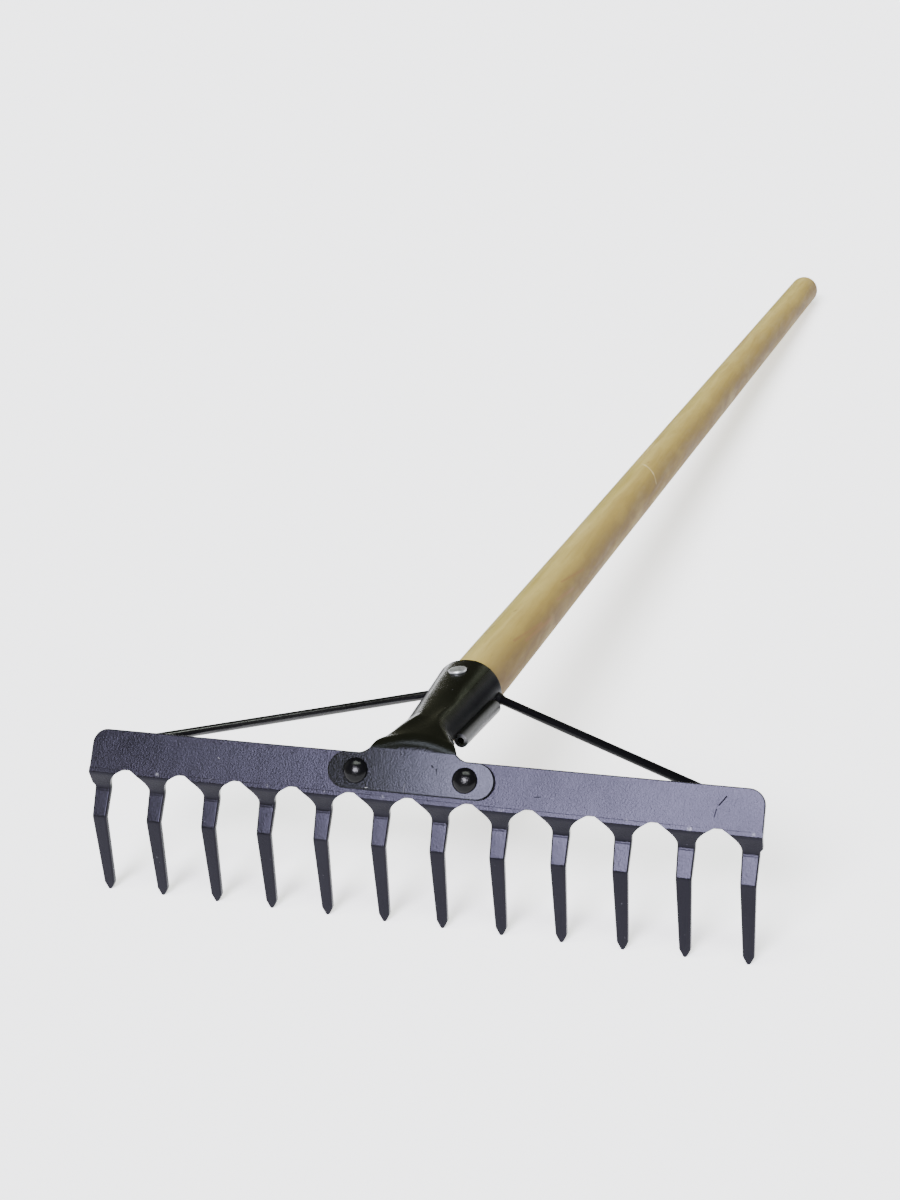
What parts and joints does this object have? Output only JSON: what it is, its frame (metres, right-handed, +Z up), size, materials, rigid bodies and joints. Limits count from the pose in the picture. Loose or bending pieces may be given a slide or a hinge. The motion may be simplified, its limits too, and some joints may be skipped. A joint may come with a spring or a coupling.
{
  "type": "garden rake",
  "caption": "Stamped steel garden rake head with bent teeth, a riveted open socket, welded brace rods and a round wooden handle.",
  "frame": {"origin": "middle of the bounding box on the floor, with the rake resting on its tooth tips and on the far end of its handle", "axes": "+X along the comb to its right as seen from the front of the comb, +Y from the comb towards the far end of the handle, +Z up"},
  "size_m": [0.33, 1.3214, 0.0936],
  "materials": {
    "comb_paint": "satin black paint with a violet-grey sheen",
    "socket_paint": "glossy black paint with a greenish tint",
    "rivet_paint": "glossy black paint",
    "rod_paint": "glossy black paint",
    "wood": "smooth bare pale hardwood",
    "zinc": "dull zinc-plated steel"
  },
  "bodies": {
    "root": {"comb": "comb_paint", "socket": "socket_paint", "rivets": "rivet_paint", "brace_left": "rod_paint", "brace_right": "rod_paint", "brace_welds": "rod_paint", "handle": "wood", "nail": "zinc"}
  },
  "joints": []
}
